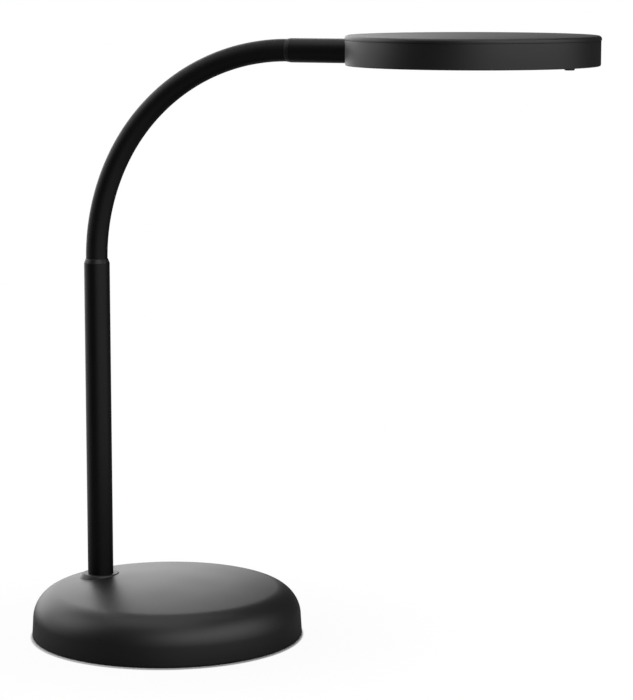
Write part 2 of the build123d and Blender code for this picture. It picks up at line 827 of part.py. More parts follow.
with BuildPart() as switch_wires:
    # flat wires on edge round the upstand, from the driver board's socket to the switch board
    with BuildSketch(upright(head_x)):
        with Locations((ribbon_inner + ribbon_thickness / 2, ribbon_bottom + ribbon_width / 2)):
            Rectangle(ribbon_thickness, ribbon_width)
    ribbon_start = ribbon_socket_y - ribbon_socket_width / 2 - seam_gap
    ribbon_turn = 180 - degrees(asin(-ribbon_start / ribbon_inner)) - ribbon_end_turn
    revolve(axis=vertical_axis(head_x), revolution_arc=-ribbon_turn)
switch_wires.part = switch_wires.part.rotate(vertical_axis(head_x), -ribbon_end_turn)
switch_wires.part.label = "switch_wires"
export_step(switch_wires.part, "parts/switch_wires.step")

with BuildPart() as led_wires:
    # short flat wires from the driver board to the edge of the LED board
    wire_reach = head_x - diffuser_radius - seam_gap - driver_face
    with BuildSketch(level(board_bottom, driver_face + wire_reach / 2)):
        Rectangle(wire_reach, led_wire_width)
    extrude(amount=led_wire_thickness)
led_wires.part.label = "led_wires"
export_step(led_wires.part, "parts/led_wires.step")

with BuildPart() as tact_switch:
    with BuildSketch(level(tact_bottom, head_x + button_x)):
        Rectangle(tact_side, tact_side)
    extrude(amount=tact_height)
    extrude(
        disc(level(tact_bottom, head_x + button_x), plunger_radius + plunger_play),
        amount=plunger_length + 2 * seam_gap,
        mode=Mode.SUBTRACT,
    )
tact_switch.part.label = "tact_switch"
export_step(tact_switch.part, "parts/tact_switch.step")

# ---------------------------------------------------------------- dimmer button

with BuildPart() as dimmer_button:
    low = head_bottom - button_proud
    outline = (
        (0, low),
        (button_radius - button_taper / 2, low),
        (button_radius, low + button_taper),
        (button_radius, button_seat),
        (button_collar_radius, button_seat),
        (button_collar_radius, button_seat + button_collar),
        (button_pad_radius, button_seat + button_collar),
        (button_pad_radius, button_top),
        (0, button_top),
    )
    revolve(section(upright(head_x + button_x), outline), axis=vertical_axis(head_x + button_x))
dimmer_button.part.label = "dimmer_button"
export_step(dimmer_button.part, "parts/dimmer_button.step")

with BuildPart() as switch_plunger:
    extrude(disc(level(button_top, head_x + button_x), plunger_radius), amount=plunger_length)
switch_plunger.part.label = "switch_plunger"
export_step(switch_plunger.part, "parts/switch_plunger.step")

# ---------------------------------------------------------------- lead
# From the inlet it turns up into the hollow stud, and lies along the middle of post and neck.

inlet_rear = -(inlet_seat - inlet_length - inlet_tail)
lead_turn_start = Vector(post_x - lead_bend, 0, inlet_height)
lead_turn_end = Vector(post_x, 0, stud_end)
lead_turn_middle = lead_turn_start + lead_bend * Vector(sin(pi / 4), 0, 1 - cos(pi / 4))
lead_tip = Vector(connector_start - seam_gap, 0, arm_height)

with BuildPart() as lead:
    with BuildLine() as route:
        Line((inlet_rear, 0, inlet_height), lead_turn_start)
        ThreePointArc(lead_turn_start, lead_turn_middle, lead_turn_end)
        Line(lead_turn_end, neck_point(0))
        ThreePointArc(neck_point(0), neck_point(neck_lower_length / 2), neck_point(neck_lower_length))
        ThreePointArc(
            neck_point(neck_lower_length),
            neck_point((neck_lower_length + neck_length) / 2),
            neck_end,
        )
        Line(neck_end, lead_tip)
    with BuildSketch(across_inlet(-inlet_rear)):
        Rectangle(lead_width, lead_depth)
    sweep()
lead.part.label = "lead"
export_step(lead.part, "parts/lead.step")
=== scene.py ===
# %% [markdown]
# # A gooseneck desk lamp, dressed around its CAD model
#
# The CAD model is the fixed frame: it says where every piece is and how it moves. This script adds
# what the eye sees, one piece at a time. Each step first says what the piece is on the real lamp.
# Lengths are metres. The lamp stands on z = 0 with the base's centre at the origin, and its head
# hangs over +X.

from math import atan2, cos, pi, radians, sin, tan

import bpy
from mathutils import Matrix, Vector


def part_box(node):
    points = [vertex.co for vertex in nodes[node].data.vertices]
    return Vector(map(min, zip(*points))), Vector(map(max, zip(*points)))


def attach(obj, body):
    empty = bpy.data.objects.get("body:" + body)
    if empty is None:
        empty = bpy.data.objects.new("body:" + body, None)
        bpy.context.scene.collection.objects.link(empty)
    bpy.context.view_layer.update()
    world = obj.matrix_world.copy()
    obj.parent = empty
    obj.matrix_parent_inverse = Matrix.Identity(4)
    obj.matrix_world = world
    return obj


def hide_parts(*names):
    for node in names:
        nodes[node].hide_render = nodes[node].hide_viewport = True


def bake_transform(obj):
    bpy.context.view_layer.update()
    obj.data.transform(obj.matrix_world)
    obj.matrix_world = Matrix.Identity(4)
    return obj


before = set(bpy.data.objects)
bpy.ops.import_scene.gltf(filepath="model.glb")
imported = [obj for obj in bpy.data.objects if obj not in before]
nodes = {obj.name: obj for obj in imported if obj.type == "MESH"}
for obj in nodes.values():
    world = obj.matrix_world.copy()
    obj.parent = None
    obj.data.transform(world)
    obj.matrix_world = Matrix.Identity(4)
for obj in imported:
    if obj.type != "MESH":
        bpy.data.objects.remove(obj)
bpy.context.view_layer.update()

# %% [markdown]
# ## Camera
#
# A long lens from the front, a little above the head, so that the base shows its top and the head
# shows only a sliver of its own. The sensor's 36 mm lie along the picture's longer side, which is
# its height.

# %% Camera
MM = 0.001
camera_tilt = radians(8.474)
camera_way = (-0.3516, 0.9362, 0.0)

camera_data = bpy.data.cameras.new("camera")
camera_data.sensor_width = 36.0
camera_data.sensor_fit = "AUTO"
camera_data.lens = 133.48
camera_data.clip_end = 50.0
camera = bpy.data.objects.new("camera", camera_data)
bpy.context.scene.collection.objects.link(camera)
camera.location = (0.6624, -1.4906, 0.4267)
camera.rotation_euler = (pi / 2 - camera_tilt, 0, atan2(-camera_way[0], camera_way[1]))
bpy.context.scene.camera = camera

# %% [markdown]
# ## Colours and nodes
#
# Colours are written as the hex values that a colour picker gives. Blender's shaders want linear
# light, so one function turns one into the other. A second one adds a shader node, sets its inputs
# and links them, and every material below is built with it.

# %% Helpers for materials
def linear(hex_colour):
    """sRGB hex such as "1a1a1a" to Blender's linear RGBA."""
    channels = [int(hex_colour[i:i + 2], 16) / 255 for i in (0, 2, 4)]
    return [c / 12.92 if c <= 0.04045 else ((c + 0.055) / 1.055) ** 2.4 for c in channels] + [1.0]


def node(tree, kind, inputs=(), **settings):
    """Adds a shader node. inputs is {socket: value or another node's output}."""
    new = tree.nodes.new(kind)
    for key, value in settings.items():
        setattr(new, key, value)
    for socket, value in dict(inputs).items():
        if isinstance(value, bpy.types.NodeSocket):
            tree.links.new(value, new.inputs[socket])
        else:
            new.inputs[socket].default_value = value
    return new


def new_material(name):
    """An empty material: its tree, its Principled shader and the Object coordinates."""
    material = bpy.data.materials.new(name)
    material.use_nodes = True
    tree = material.node_tree
    tree.nodes.clear()
    shader = node(tree, "ShaderNodeBsdfPrincipled")
    output = node(tree, "ShaderNodeOutputMaterial")
    tree.links.new(shader.outputs["BSDF"], output.inputs["Surface"])
    place = node(tree, "ShaderNodeTexCoord")
    return material, tree, shader, place.outputs["Object"]


def grain(tree, place, size, detail=2.0, roughness=0.5, stretch=(1, 1, 1)):
    """Noise whose features measure about size, in metres, along the piece's own coordinates."""
    scale = [s / size for s in stretch]
    scaled = node(tree, "ShaderNodeMapping", {"Vector": place, "Scale": scale}).outputs["Vector"]
    noise = {"Vector": scaled, "Scale": 1.0, "Detail": detail, "Roughness": roughness}
    return node(tree, "ShaderNodeTexNoise", noise).outputs["Fac"]


def between(tree, factor, least, most):
    """A number that runs from least to most as the factor runs over the middle of a noise."""
    limits = {"Value": factor, "From Min": 0.3, "From Max": 0.7, "To Min": least, "To Max": most}
    return node(tree, "ShaderNodeMapRange", limits).outputs["Result"]


def mixed(tree, factor, colour_a, colour_b):
    """A colour between two hex colours."""
    mix = node(tree, "ShaderNodeMix", data_type="RGBA")
    tree.links.new(factor, mix.inputs["Factor"])
    mix.inputs[6].default_value = linear(colour_a)
    mix.inputs[7].default_value = linear(colour_b)
    return mix.outputs[2]


def bumped(tree, shader, height, distance, strength):
    """Raises the surface by the height pattern, distance metres at most."""
    relief = {"Height": height, "Distance": distance, "Strength": strength}
    bump = node(tree, "ShaderNodeBump", relief)
    tree.links.new(bump.outputs["Normal"], shader.inputs["Normal"])

# %% [markdown]
# ## Light, floor and background
#
# A satin black object is drawn by what it mirrors, so it is lit as in a product studio. A white
# wall stands behind on the left and ends straight behind the lamp: it lights the top of the base
# and of the head, which grow darker to the right. A second one, brighter towards its top, stands in
# front on the right and puts a broad sheen on the sides. Between them the studio is dim, which
# leaves the dark stripe down the side of the head and along the tubes. The walls are part of the
# world, so gloss and glass mirror them, and three soft boxes give matt surfaces a plain level. The
# floor is white to the eye, with a thin shadow line where the base stands on it, and mirrors show
# it grey near the lamp and the walls further off.

# %% Light, floor and background
def number(tree, operation, *values):
    """A number worked out of one, two or three others."""
    return node(tree, "ShaderNodeMath", dict(enumerate(values)), operation=operation).outputs[0]


def along(tree, place, direction):
    """How far a place, or a ray's direction, lies along a direction."""
    product = node(tree, "ShaderNodeVectorMath", {0: place, 1: direction}, operation="DOT_PRODUCT")
    return product.outputs["Value"]


def ramp(tree, value, start, end, least=0.0, most=1.0):
    """A soft step from least to most as the value runs from start to end."""
    limits = {"Value": value, "From Min": start, "From Max": end, "To Min": least, "To Max": most}
    step = node(tree, "ShaderNodeMapRange", limits, interpolation_type="SMOOTHSTEP")
    return step.outputs["Result"]


def walls(tree, way, height):
    """How bright the studio's two white walls are in a direction, at a height above the horizon."""
    flat = node(tree, "ShaderNodeVectorMath", {0: way, 1: (1, 1, 0)}, operation="MULTIPLY")
    flat = flat.outputs["Vector"]
    level = node(tree, "ShaderNodeVectorMath", {0: flat}, operation="NORMALIZE").outputs["Vector"]
    rear = ramp(tree, along(tree, level, to_left), -0.2, 0.15)
    rear_end = ramp(tree, along(tree, level, behind), -0.35, 0.35, 0.0, 0.9)
    rear = number(tree, "MULTIPLY", rear, rear_end)
    rear = number(tree, "MULTIPLY", rear, ramp(tree, height, 0.5, 0.8, 1.0, 0.0))
    front = ramp(tree, along(tree, level, front_right), 0.34, 0.94)
    front = number(tree, "MULTIPLY", front, ramp(tree, height, 0.0, 0.5, 0.8, 1.95))
    front = number(tree, "MULTIPLY", front, ramp(tree, height, 0.6, 0.9, 1.0, 0.0))
    return number(tree, "MAXIMUM", rear, front)


def studio(right, back, up):
    """A place in the studio: so far to the right, to the back and up, in metres from the base."""
    return Vector([right * -to_left[i] + back * behind[i] for i in range(2)] + [up])


def soft_box(name, location, target, size, power):
    """A square soft box of that size, facing its target."""
    data = bpy.data.lights.new(name, "AREA")
    data.size = size
    data.energy = power
    lamp = bpy.data.objects.new(name, data)
    bpy.context.scene.collection.objects.link(lamp)
    lamp.location = location
    lamp.rotation_euler = (Vector(target) - location).to_track_quat("-Z", "Y").to_euler()


bpy.context.scene.view_settings.view_transform = "Standard"

behind = camera_way
to_left = (-behind[1], behind[0], 0.0)
front_right = (0.9177, -0.3975, 0.0)

surround = bpy.data.worlds.new("surround")
bpy.context.scene.world = surround
surround.use_nodes = True
tree = surround.node_tree
tree.nodes.clear()
path = node(tree, "ShaderNodeLightPath").outputs
ray = node(tree, "ShaderNodeTexCoord").outputs["Generated"]
height = node(tree, "ShaderNodeSeparateXYZ", {"Vector": ray}).outputs["Z"]
mirrored = number(tree, "MAXIMUM", path["Is Glossy Ray"], path["Is Transmission Ray"])
mirrored = number(tree, "MULTIPLY", mirrored, walls(tree, ray, height))
plain = number(tree, "MULTIPLY_ADD", path["Is Diffuse Ray"], 0.2, 0.06)
strength = number(tree, "MAXIMUM", number(tree, "ADD", plain, mirrored), path["Is Camera Ray"])
light = node(tree, "ShaderNodeBackground", {"Color": linear("ffffff"), "Strength": strength})
node(tree, "ShaderNodeOutputWorld", {"Surface": light.outputs[0]})

soft_box("rear_box", studio(-0.95, 2.2, 0.8), (0.0, 0.0, 0.1), 2.4, 26)
soft_box("overhead_box", studio(0.0, 0.0, 1.5), (0.0, 0.0, 0.1), 1.5, 8)
soft_box("left_box", studio(-1.6, 0.2, 1.1), (0.0, 0.0, 0.2), 1.2, 6)

shadow_centre = (0.0011, -0.0028, 0.0)
shadow_start = 0.0865
shadow_end = 0.0882

bpy.ops.mesh.primitive_plane_add(size=80)
floor = bpy.context.object
floor.name = "floor"

floor_paint = bpy.data.materials.new("matt_white_floor")
floor_paint.use_nodes = True
tree = floor_paint.node_tree
tree.nodes.clear()
path = node(tree, "ShaderNodeLightPath").outputs
place = node(tree, "ShaderNodeTexCoord").outputs["Object"]
away = node(tree, "ShaderNodeVectorMath", {0: place}, operation="LENGTH").outputs["Value"]
from_base = node(tree, "ShaderNodeVectorMath", {0: place, 1: shadow_centre}, operation="DISTANCE")
contact = ramp(tree, from_base.outputs["Value"], shadow_start, shadow_end, 0.0, 0.95)
bright = number(tree, "ADD", contact, ramp(tree, away, 0.1, 0.2, 0.0, 0.05))
shown = number(tree, "MULTIPLY", path["Is Camera Ray"], bright)
mirrored = number(tree, "MAXIMUM", path["Is Glossy Ray"], path["Is Transmission Ray"])
mirrored = number(tree, "MULTIPLY", mirrored, walls(tree, place, 0.0))
mirrored = number(tree, "MULTIPLY", mirrored, ramp(tree, away, 0.15, 0.5))
colour = node(tree, "ShaderNodeMix", data_type="RGBA")
tree.links.new(path["Is Camera Ray"], colour.inputs["Factor"])
colour.inputs[6].default_value = linear("808080")
colour.inputs[7].default_value = linear("f2f2f2")
matt = node(tree, "ShaderNodeBsdfDiffuse", {"Color": colour.outputs[2]})
glow = node(tree, "ShaderNodeEmission", {"Color": linear("ffffff"), "Strength": 1.0})
share = number(tree, "MAXIMUM", shown, mirrored)
chosen = node(tree, "ShaderNodeMixShader", {0: share, 1: matt.outputs[0], 2: glow.outputs[0]})
node(tree, "ShaderNodeOutputMaterial", {"Surface": chosen.outputs[0]})
floor.data.materials.append(floor_paint)

# %% [markdown]
# ## Sizes
#
# Places come from the CAD nodes' boxes, so the looks follow the construction. What a box can't
# tell, such as a radius of rounding, is written where it is used, in millimetres times MM.

# %% Sizes read from the frame
def low(name):
    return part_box(name)[0]


def high(name):
    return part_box(name)[1]


base_radius = high("base_cover").x
rim_bottom = low("base_cover").z
base_height = high("base_cover").z
post_x = (low("neck_collar_lower").x + high("neck_collar_lower").x) / 2
post_radius = high("neck_collar_lower").y
post_foot = low("post_tube").z
post_top = high("post_tube").z
neck_start = high("neck_collar_lower").z
arm_height = (low("neck_collar_upper").z + high("neck_collar_upper").z) / 2
neck_end = low("neck_collar_upper").x
stub_start = low("stub_tube").x
stub_radius = (high("stub_tube").z - low("stub_tube").z) / 2
head_x = high("head_housing").x - high("head_housing").y
head_radius = high("head_cover").x - head_x
head_top = high("head_cover").z
head_bottom = low("head_housing").z
housing_radius = high("head_housing").x - head_x
neck_radius = high("neck_link_01").y
print("base", base_radius, "head", head_radius, "at", head_x, "arm height", arm_height)

# %% [markdown]
# ## Turned pieces
#
# Most of this lamp is round, so most pieces are lathe work: half a section is drawn as a chain of
# edges and spun round its axis. A corner of the outline may carry a third number, the radius that
# rounds it, because no real edge is perfectly sharp and the small rounds catch the light.

# %% Helpers for turned pieces
def rounded(corners, steps=6):
    """Outline points (radius, height). A corner with a third number is rounded by that radius."""
    points = []
    for i, corner in enumerate(corners):
        here = Vector(corner[:2])
        if len(corner) == 2:
            points.append(here)
            continue
        back = (Vector(corners[i - 1][:2]) - here).normalized()
        on = (Vector(corners[(i + 1) % len(corners)][:2]) - here).normalized()
        half = back.angle(on) / 2
        centre = here + (back + on).normalized() * (corner[2] / sin(half))
        arc_start = here + back * (corner[2] / tan(half)) - centre
        arc_end = here + on * (corner[2] / tan(half)) - centre
        first = atan2(arc_start.y, arc_start.x)
        turn = (atan2(arc_end.y, arc_end.x) - first + pi) % (2 * pi) - pi
        for k in range(steps + 1):
            angle = first + turn * k / steps
            points.append(centre + corner[2] * Vector((cos(angle), sin(angle))))
    return points


def arc(centre, radius, first, last, steps):
    """Points of an arc in the outline's plane, its angles counted from straight up, clockwise."""
    angles = [first + (last - first) * k / steps for k in range(steps + 1)]
    return [(centre[0] + radius * sin(a), centre[1] + radius * cos(a)) for a in angles]


def alone(piece):
    """Makes the piece the only selected object."""
    bpy.ops.object.select_all(action="DESELECT")
    bpy.context.view_layer.objects.active = piece
    piece.select_set(True)


def settle(name):
    """Names the object being made, sets its place into its mesh and smooths it up to its edges."""
    piece = bpy.context.object
    piece.name = name
    piece.data.name = name
    bpy.ops.object.transform_apply(location=True, rotation=True, scale=True)
    bpy.ops.object.shade_smooth_by_angle(angle=radians(30))
    return piece


def spun(name, corners, foot=(0, 0, 0), axis=(0, 0, 1), closed=True, steps=144):
    """Turned piece: corners are (radius, height) along the axis through foot. An outline that
    starts and ends on the axis isn't closed: its poles close by themselves."""
    foot, axis = Vector(foot), Vector(axis)
    side = Vector((0, 1, 0))
    places = [foot + side * p[0] + axis * p[1] for p in rounded(corners)]
    if closed:
        places.append(places[0])
    bpy.ops.object.select_all(action="DESELECT")
    bpy.ops.mesh.primitive_plane_add(size=MM, location=places[0])
    bpy.ops.object.mode_set(mode="EDIT")
    bpy.ops.mesh.merge(type="CENTER")
    for here, there in zip(places, places[1:]):
        bpy.ops.mesh.extrude_region_move(TRANSFORM_OT_translate={"value": there - here})
    bpy.ops.mesh.select_all(action="SELECT")
    bpy.ops.mesh.remove_doubles(threshold=0.001 * MM)
    bpy.ops.mesh.select_all(action="SELECT")
    bpy.ops.mesh.spin(steps=steps, angle=2 * pi, center=foot, axis=axis)
    bpy.ops.mesh.select_all(action="SELECT")
    bpy.ops.mesh.remove_doubles(threshold=0.001 * MM)
    bpy.ops.mesh.normals_make_consistent(inside=False)
    bpy.ops.object.mode_set(mode="OBJECT")
    return settle(name)


def combine(piece, operation, *tools):
    """Applies a Boolean of the piece with each tool in turn, which is then deleted."""
    alone(piece)
    for tool in tools:
        modifier = piece.modifiers.new("combined", "BOOLEAN")
        modifier.operation = operation
        modifier.solver = "EXACT"
        modifier.object = tool
        bpy.ops.object.modifier_apply(modifier=modifier.name)
        bpy.data.objects.remove(tool)
    bpy.ops.object.shade_smooth_by_angle(angle=radians(30))
    return piece


def rod(radius, start, end, steps=64):
    """Plain round rod between two points on a line along Z or X, to add or cut by a Boolean."""
    way = Vector(end) - Vector(start)
    outline = [(0, 0), (radius, 0), (radius, way.length), (0, way.length)]
    return spun("rod", outline, foot=start, axis=way.normalized(), closed=False, steps=steps)


def moved_copy(piece, name, by):
    """A copy with its own mesh, moved by a vector."""
    alone(piece)
    bpy.ops.object.duplicate()
    bpy.ops.transform.translate(value=by)
    return settle(name)


def finish(piece, body, material, slot, *replaced):
    """Gives the piece its material, attaches it to the body it moves with and hides the nodes it
    replaces.
    """
    piece.data.materials.clear()
    piece.data.materials.append(material)
    if body:
        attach(piece, body)
    if replaced:
        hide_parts(*replaced)
    print(piece.name, len(piece.data.polygons), "faces")
    return piece


# %% [markdown]
# ## Black ABS, moulded
#
# The base cover and the head's two shells are injection-moulded ABS. The mould's steel is spark
# eroded, which leaves a fine even grain: the plastic is satin, it greys over where it is seen at a
# low angle, and its reflections are soft. ABS has an IOR of about 1.54.

# %% Moulded black ABS
def moulded_abs(name="black_abs_spark_eroded"):
    material, tree, shader, place = new_material(name)
    shader.inputs["IOR"].default_value = 1.54
    fine = grain(tree, place, 0.45 * MM, detail=3.0, roughness=0.6)
    broad = grain(tree, place, 30 * MM, detail=1.0)
    tree.links.new(mixed(tree, broad, "191818", "1b1a1a"), shader.inputs["Base Color"])
    tree.links.new(between(tree, broad, 0.42, 0.44), shader.inputs["Roughness"])
    bumped(tree, shader, fine, 0.006 * MM, 0.6)
    return material


black_abs = moulded_abs()

# %% [markdown]
# ## Powder-coated steel
#
# Post and stub are thin steel tubes with a baked powder coat. Powder flows while it bakes and sets
# with a faint orange peel, about a millimetre across, so highlights run along the tube with a
# slightly uneven edge. The long tubes have a matt coat, which mirrors little. The short collars
# have a satin one, and their colour is painted a shade lighter than the tubes': a painted
# highlight, so that their cones show as a brighter ring.

# %% Powder coat
def powder_coat(name, gloss, colour_a, colour_b):
    material, tree, shader, place = new_material(name)
    shader.inputs["IOR"].default_value = 1.5
    shader.inputs["Specular IOR Level"].default_value = gloss
    peel = grain(tree, place, 1.4 * MM, detail=1.5)
    broad = grain(tree, place, 25 * MM, detail=1.0)
    tree.links.new(mixed(tree, broad, colour_a, colour_b), shader.inputs["Base Color"])
    tree.links.new(between(tree, broad, 0.36, 0.42), shader.inputs["Roughness"])
    bumped(tree, shader, peel, 0.008 * MM, 0.5)
    return material


powder_black = powder_coat("black_powder_coat_matt", 0.25, "0b0b0b", "0f0f0f")
# The collars' coat: its colour is painted lighter than the tubes' as a painted highlight.
collar_coat_painted_highlight = powder_coat("black_powder_coat_satin_painted_highlight", 0.38, "171616", "1a1919")

# %% [markdown]
# ## Neck sleeve
#
# The links of the neck are drawn into a soft PVC sleeve, matt black and a little darker than the
# tubes, without any joint along its length.

# %% Sleeve of soft PVC
def soft_pvc(name="black_soft_pvc"):
    material, tree, shader, place = new_material(name)
    shader.inputs["IOR"].default_value = 1.52
    shader.inputs["Specular IOR Level"].default_value = 0.22
    fine = grain(tree, place, 0.6 * MM, detail=2.0)
    broad = grain(tree, place, 18 * MM, detail=1.0)
    tree.links.new(mixed(tree, broad, "090909", "0d0d0d"), shader.inputs["Base Color"])
    tree.links.new(between(tree, broad, 0.44, 0.5), shader.inputs["Roughness"])
    bumped(tree, shader, fine, 0.005 * MM, 0.5)
    return material


sleeve_pvc = soft_pvc()

# %% [markdown]
# ## Base cover
#
# The cover is one domed shell: a shallow crown, a round shoulder that takes over from it at a faint
# crease, and a side that leans in a little so that the mould opens. The post stands on a low
# cone-shaped boss behind the centre. The dome is spun, the boss and the columns for the screws are
# turned by themselves and joined by Booleans, and the seat of the power inlet is cut out of the
# rear.

# %% Base cover
shoulder_radius = 19.3 * MM
shoulder_height = 11.4 * MM
side_draft = 0.7 * MM
cover_wall = 2.6 * MM
boss_radius = 11.4 * MM
boss_slope = radians(30)
boss_seat = 31.0 * MM
column_radius = 12.25 * MM
boss_bore = 5.1 * MM
arch_top = high("base_weight").z
weight_top = 13 * MM
screw_head_radius = 3.6 * MM
screw_reach = high("base_screws").x - screw_head_radius
screw_column_radius = 4.5 * MM
screw_column_top = 31 * MM
screw_bore = 1.8 * MM
screw_bore_end = 25.3 * MM
inlet_flange = 1.2 * MM
inlet_seat_radius = 6.2 * MM
inlet_hole_radius = 4.05 * MM
inlet_height = (low("dc_jack").z + high("dc_jack").z) / 2
inlet_face = low("dc_jack").x

shoulder_x = base_radius - side_draft - shoulder_radius
crown_rise = base_height - shoulder_height
crown_radius = (shoulder_x**2 + crown_rise**2 - shoulder_radius**2) / (
    2 * (crown_rise - shoulder_radius)
)
crown_centre = base_height - crown_radius
crown_reach = atan2(shoulder_x, shoulder_height - crown_centre)


def dome(inset):
    """The dome's outline from its top to the end of the shoulder, inset from the outer skin."""
    crown = arc((0, crown_centre), crown_radius - inset, 0, crown_reach, 24)
    shoulder = arc((shoulder_x, shoulder_height), shoulder_radius - inset, crown_reach, pi / 2, 24)
    return crown + shoulder[1:]


def base_cover():
    outline = dome(0) + [(base_radius, rim_bottom, 0.5 * MM)]
    outline += [(base_radius - cover_wall, rim_bottom, 0.3 * MM)] + dome(cover_wall)[::-1]
    shell = spun("base_shell", outline, closed=False, steps=192)
    boss = [
        (0, arch_top),
        (column_radius, arch_top),
        (column_radius, boss_seat),
        (boss_radius + (post_foot - boss_seat) * tan(boss_slope), boss_seat),
        (boss_radius, post_foot, 0.9 * MM),
        (0, post_foot),
    ]
    adds = [spun("boss", boss, foot=(post_x, 0, 0), closed=False, steps=96)]
    cuts = [rod(boss_bore, (post_x, 0, arch_top - MM), (post_x, 0, base_height + MM))]
    for sx, sy in ((1, 1), (1, -1), (-1, 1), (-1, -1)):
        x, y = sx * screw_reach, sy * screw_reach
        adds.append(rod(screw_column_radius, (x, y, weight_top), (x, y, screw_column_top), 32))
        cuts.append(rod(screw_bore, (x, y, weight_top - MM), (x, y, screw_bore_end), 24))
    combine(shell, "UNION", *adds)
    outside = (inlet_face - MM, 0, inlet_height)
    seat = inlet_face + inlet_flange
    cuts.append(rod(inlet_seat_radius, outside, (seat, 0, inlet_height)))
    cuts.append(rod(inlet_hole_radius, outside, (seat + 6 * MM, 0, inlet_height)))
    return combine(shell, "DIFFERENCE", *cuts)


finish(base_cover(), "base", black_abs, "satin_black_plastic", "base_cover")

# %% [markdown]
# ## Under the base
#
# A steel plate closes the base, a soft pad keeps it from sliding, and four pan-head screws go
# through both into the casting's holes and the cover. One screw is turned, its cross recess is cut
# by two crossed bars, and it is copied to the other three holes.

# %% Foot pad, plate and screws
foot_radius = high("foot_pad").x
foot_height = high("foot_pad").z
plate_radius = high("base_plate").x
plate_top = high("base_plate").z
screw_places = [(sx * screw_reach, sy * screw_reach) for sx in (1, -1) for sy in (1, -1)]


def pierced_disc(name, radius, bottom, top, edge, hole_radius):
    """A disc with a rounded edge and a hole at each screw."""
    outline = [(0, bottom), (radius, bottom, edge), (radius, top, edge), (0, top)]
    plate = spun(name, outline, closed=False)
    holes = [rod(hole_radius, (x, y, bottom - MM), (x, y, top + MM), 48) for x, y in screw_places]
    return combine(plate, "DIFFERENCE", *holes)


def foam_rubber(name="black_foam_rubber"):
    material, tree, shader, place = new_material(name)
    shader.inputs["IOR"].default_value = 1.52
    cells = grain(tree, place, 0.5 * MM, detail=2.0, roughness=0.7)
    tree.links.new(mixed(tree, cells, "161616", "232323"), shader.inputs["Base Color"])
    tree.links.new(between(tree, cells, 0.8, 0.95), shader.inputs["Roughness"])
    bumped(tree, shader, cells, 0.05 * MM, 0.7)
    return material


def zinc_plated(name="zinc_plated_steel"):
    material, tree, shader, place = new_material(name)
    shader.inputs["Metallic"].default_value = 1.0
    clouds = grain(tree, place, 1.5 * MM, detail=3.0)
    tree.links.new(mixed(tree, clouds, "b4b6b8", "c9cbcc"), shader.inputs["Base Color"])
    tree.links.new(between(tree, clouds, 0.24, 0.4), shader.inputs["Roughness"])
    bumped(tree, shader, clouds, 0.01 * MM, 0.4)
    return material


zinc_steel = zinc_plated()
pad = pierced_disc("foot_pad_skin", foot_radius, 0.0, foot_height, 0.4 * MM, 4.0 * MM)
finish(pad, "base", foam_rubber(), "black_rubber", "foot_pad")
plate = pierced_disc("closing_plate", plate_radius, foot_height, plate_top, 0.25 * MM, 2.4 * MM)
finish(plate, "base", powder_black, "coated_plate", "base_plate")


def pan_screw(name, place, head_bottom_z, head_height, end):
    """Pan-head screw from below: rounded head, cross recess and shank."""
    x, y = place
    shank_radius = 1.75 * MM
    head = [
        (0, head_bottom_z),
        (screw_head_radius, head_bottom_z, 0.8 * MM),
        (screw_head_radius, head_bottom_z + head_height),
        (shank_radius, head_bottom_z + head_height),
        (shank_radius, end - 1.2 * MM),
        (0.9 * MM, end),
        (0, end),
    ]
    screw = spun(name, head, foot=(x, y, 0), closed=False, steps=48)
    bars = []
    for length, width in ((3.8 * MM, 0.75 * MM), (0.75 * MM, 3.8 * MM)):
        bpy.ops.object.select_all(action="DESELECT")
        bpy.ops.mesh.primitive_cube_add(size=1, location=(x, y, head_bottom_z + 0.2 * MM))
        bpy.ops.transform.resize(value=(length, width, 1.6 * MM))
        bars.append(settle("bar"))
    return combine(screw, "DIFFERENCE", *bars)


screw_low = low("base_screws").z
first_screw = pan_screw(
    "base_screw_1", screw_places[0], screw_low, foot_height - screw_low, high("base_screws").z
)
for count, (x, y) in enumerate(screw_places[1:], start=2):
    by = (x - screw_places[0][0], y - screw_places[0][1], 0)
    finish(moved_copy(first_screw, f"base_screw_{count}", by), "base", zinc_steel, "zinc_steel")
finish(first_screw, "base", zinc_steel, "zinc_steel", "base_screws")

# %% [markdown]
# ## Power inlet
#
# A round low-voltage socket sits in the rear of the base: a black flange, a bore and the centre pin
# on which the plug's contact slides. Body and pin are turned on the inlet's own axis, which lies
# along X.

# %% Power inlet
def nickel(name="nickel_plated_brass"):
    material, tree, shader, place = new_material(name)
    shader.inputs["Metallic"].default_value = 1.0
    clouds = grain(tree, place, 0.8 * MM)
    tree.links.new(mixed(tree, clouds, "c4bfb3", "d2cdc2"), shader.inputs["Base Color"])
    tree.links.new(between(tree, clouds, 0.18, 0.26), shader.inputs["Roughness"])
    return material


def glossy_nylon(name="black_nylon"):
    material, tree, shader, place = new_material(name)
    shader.inputs["IOR"].default_value = 1.53
    fine = grain(tree, place, 0.4 * MM)
    tree.links.new(mixed(tree, fine, "101010", "151515"), shader.inputs["Base Color"])
    tree.links.new(between(tree, fine, 0.28, 0.36), shader.inputs["Roughness"])
    return material


